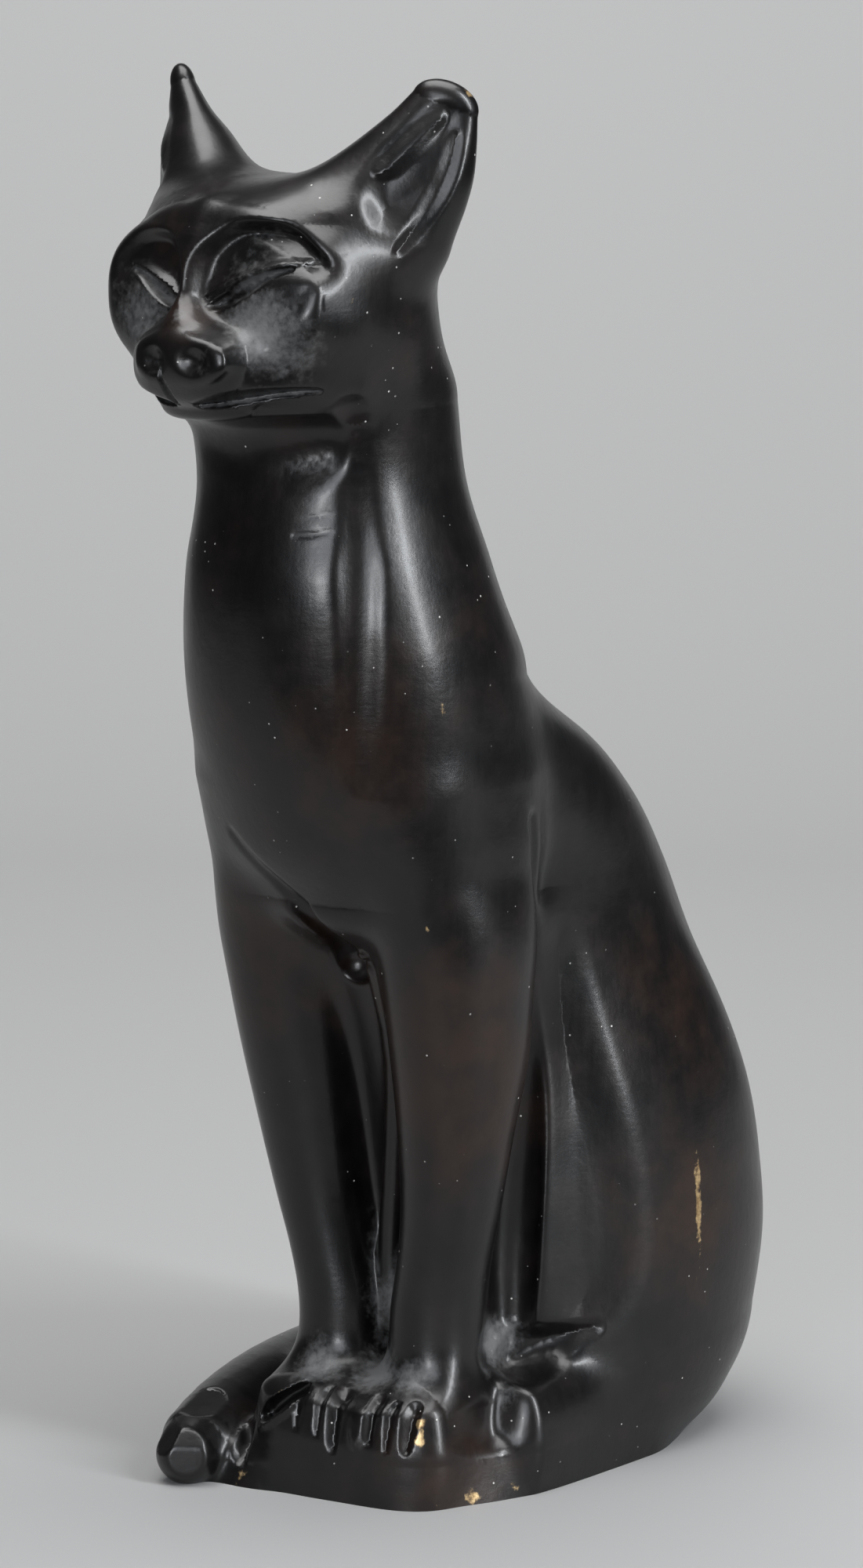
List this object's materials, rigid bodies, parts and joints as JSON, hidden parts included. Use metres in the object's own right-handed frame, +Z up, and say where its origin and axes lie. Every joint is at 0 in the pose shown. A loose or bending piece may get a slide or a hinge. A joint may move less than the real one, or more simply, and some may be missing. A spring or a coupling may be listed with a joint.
{
  "type": "cat statuette",
  "caption": "Seated cat statuette with upright ears, straight forelegs and a tail curled round one side, on a flat underside.",
  "frame": {"origin": "on the flat underside, between the four feet", "axes": "+Z up through the figure, -Y the way the cat faces, +X its left side"},
  "size_m": [0.063, 0.1137, 0.1962],
  "materials": {
    "bronze": "dark brown-black patina, satin, with brass-coloured wear on the edges"
  },
  "bodies": {
    "root": {"cat_statuette": "bronze"}
  },
  "joints": []
}
